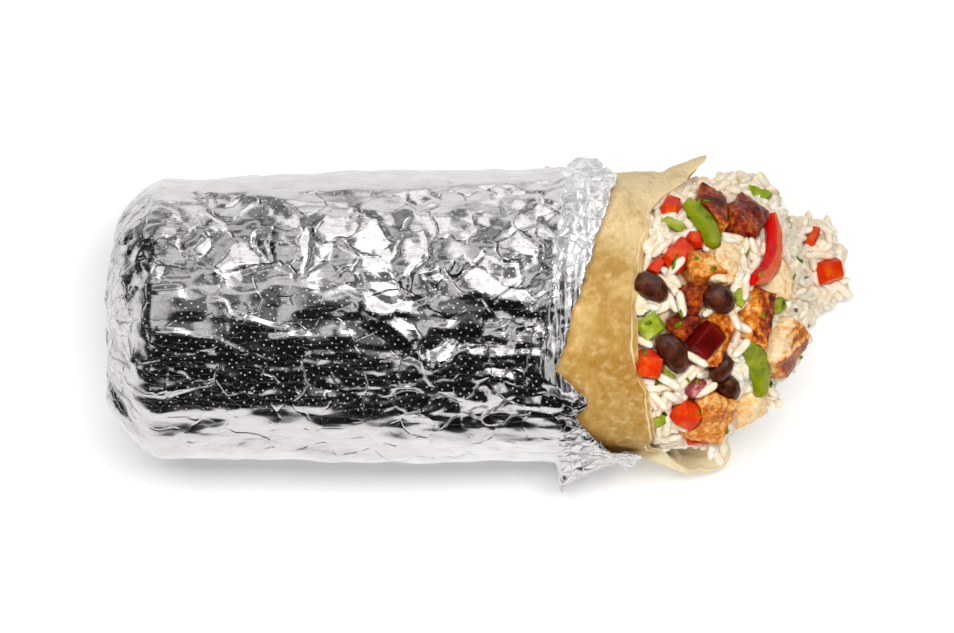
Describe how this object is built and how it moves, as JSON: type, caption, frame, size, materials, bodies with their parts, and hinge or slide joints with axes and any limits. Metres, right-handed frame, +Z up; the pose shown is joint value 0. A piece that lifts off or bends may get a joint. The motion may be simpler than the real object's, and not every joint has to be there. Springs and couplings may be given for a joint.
{
  "type": "burrito",
  "caption": "Burrito in crumpled foil lying on its side, torn open at one end to show the tortilla's rim and a heaped filling of rice, chicken, beans, tomato and peppers.",
  "frame": {"origin": "on the surface that the roll lies on, under the roll's axis and near the middle of the foil's length", "axes": "+X along the roll towards the open end, +Y to the side on which the tortilla's inner layer stands out, +Z up"},
  "size_m": [0.196, 0.0878, 0.0683],
  "materials": {
    "foil": "crumpled bright foil with a fine embossed dot pattern",
    "tortilla": "soft floury sheet with pale toasted blotches",
    "rice": "moist white grains",
    "bean": "glossy black-brown skin",
    "roast_pepper": "wet dark red flesh",
    "tomato": "wet red flesh",
    "green_dice": "moist green flesh and skin",
    "onion": "moist pink-red layer",
    "red_pepper": "wet red skin with a paler cut side",
    "green_pepper": "wet green skin with a paler cut side",
    "cilantro": "thin green leaf",
    "chicken": "grilled meat, browned and charred on its outside"
  },
  "bodies": {
    "root": {"foil": "foil", "tortilla": "tortilla", "rice": "rice", "bean_1": "bean", "bean_2": "bean", "bean_3": "bean", "bean_4": "bean", "bean_5": "bean", "roast_pepper": "roast_pepper", "tomato_1": "tomato", "tomato_2": "tomato", "tomato_3": "tomato", "tomato_4": "tomato", "tomato_5": "tomato", "tomato_6": "tomato", "tomato_7": "tomato", "tomato_8": "tomato", "tomato_9": "tomato", "green_dice_1": "green_dice", "green_dice_2": "green_dice", "green_dice_3": "green_dice", "green_dice_4": "green_dice", "green_dice_5": "green_dice", "green_dice_6": "green_dice", "onion": "onion", "red_pepper": "red_pepper", "green_pepper_1": "green_pepper", "green_pepper_2": "green_pepper", "cilantro": "cilantro", "chicken_1": "chicken", "chicken_2": "chicken", "chicken_3": "chicken", "chicken_4": "chicken", "chicken_5": "chicken", "chicken_6": "chicken", "chicken_7": "chicken", "chicken_8": "chicken", "chicken_9": "chicken", "chicken_10": "chicken", "chicken_11": "chicken", "chicken_12": "chicken"}
  },
  "joints": []
}
